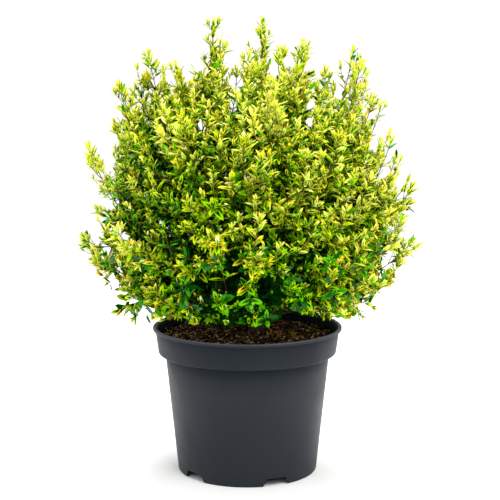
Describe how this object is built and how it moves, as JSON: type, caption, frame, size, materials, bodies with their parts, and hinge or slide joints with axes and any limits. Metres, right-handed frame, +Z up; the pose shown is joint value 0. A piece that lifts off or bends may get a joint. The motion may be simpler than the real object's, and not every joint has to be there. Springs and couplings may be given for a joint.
{
  "type": "potted myrtle",
  "caption": "Globe-shaped myrtle with small pointed variegated leaves, growing in a tapered round nursery pot with a rolled lip, a deep collar and notches in its foot.",
  "frame": {"origin": "centre of the pot's flat underside", "axes": "+Z up along the pot's axis; the view of the reference picture looks along +Y, so -Y faces the viewer and +X is to the right"},
  "size_m": [0.4016, 0.3858, 0.5488],
  "materials": {
    "pot_plastic": "dark grey moulded plastic with a soft sheen",
    "compost": "dark moist potting compost with tan fibres, matte and crumbly",
    "bark": "thin flaking reddish-brown bark",
    "variegated_leaves": "small glossy leaves, yellow and yellow-edged at the tips of the shoots and dark green inside"
  },
  "bodies": {
    "root": {"pot": "pot_plastic", "compost": "compost", "trunk": "bark", "bough_low_1": "bark", "bough_low_2": "bark", "bough_low_3": "bark", "bough_low_4": "bark", "bough_low_5": "bark", "bough_low_6": "bark", "bough_mid_1": "bark", "bough_mid_2": "bark", "bough_mid_3": "bark", "bough_mid_4": "bark", "bough_mid_5": "bark", "bough_top_1": "bark", "bough_top_2": "bark", "bough_top_3": "bark", "foliage_low_1": "variegated_leaves", "foliage_low_2": "variegated_leaves", "foliage_low_3": "variegated_leaves", "foliage_low_4": "variegated_leaves", "foliage_low_5": "variegated_leaves", "foliage_low_6": "variegated_leaves", "foliage_mid_1": "variegated_leaves", "foliage_mid_2": "variegated_leaves", "foliage_mid_3": "variegated_leaves", "foliage_mid_4": "variegated_leaves", "foliage_mid_5": "variegated_leaves", "foliage_top_1": "variegated_leaves", "foliage_top_2": "variegated_leaves", "foliage_top_3": "variegated_leaves"}
  },
  "joints": []
}
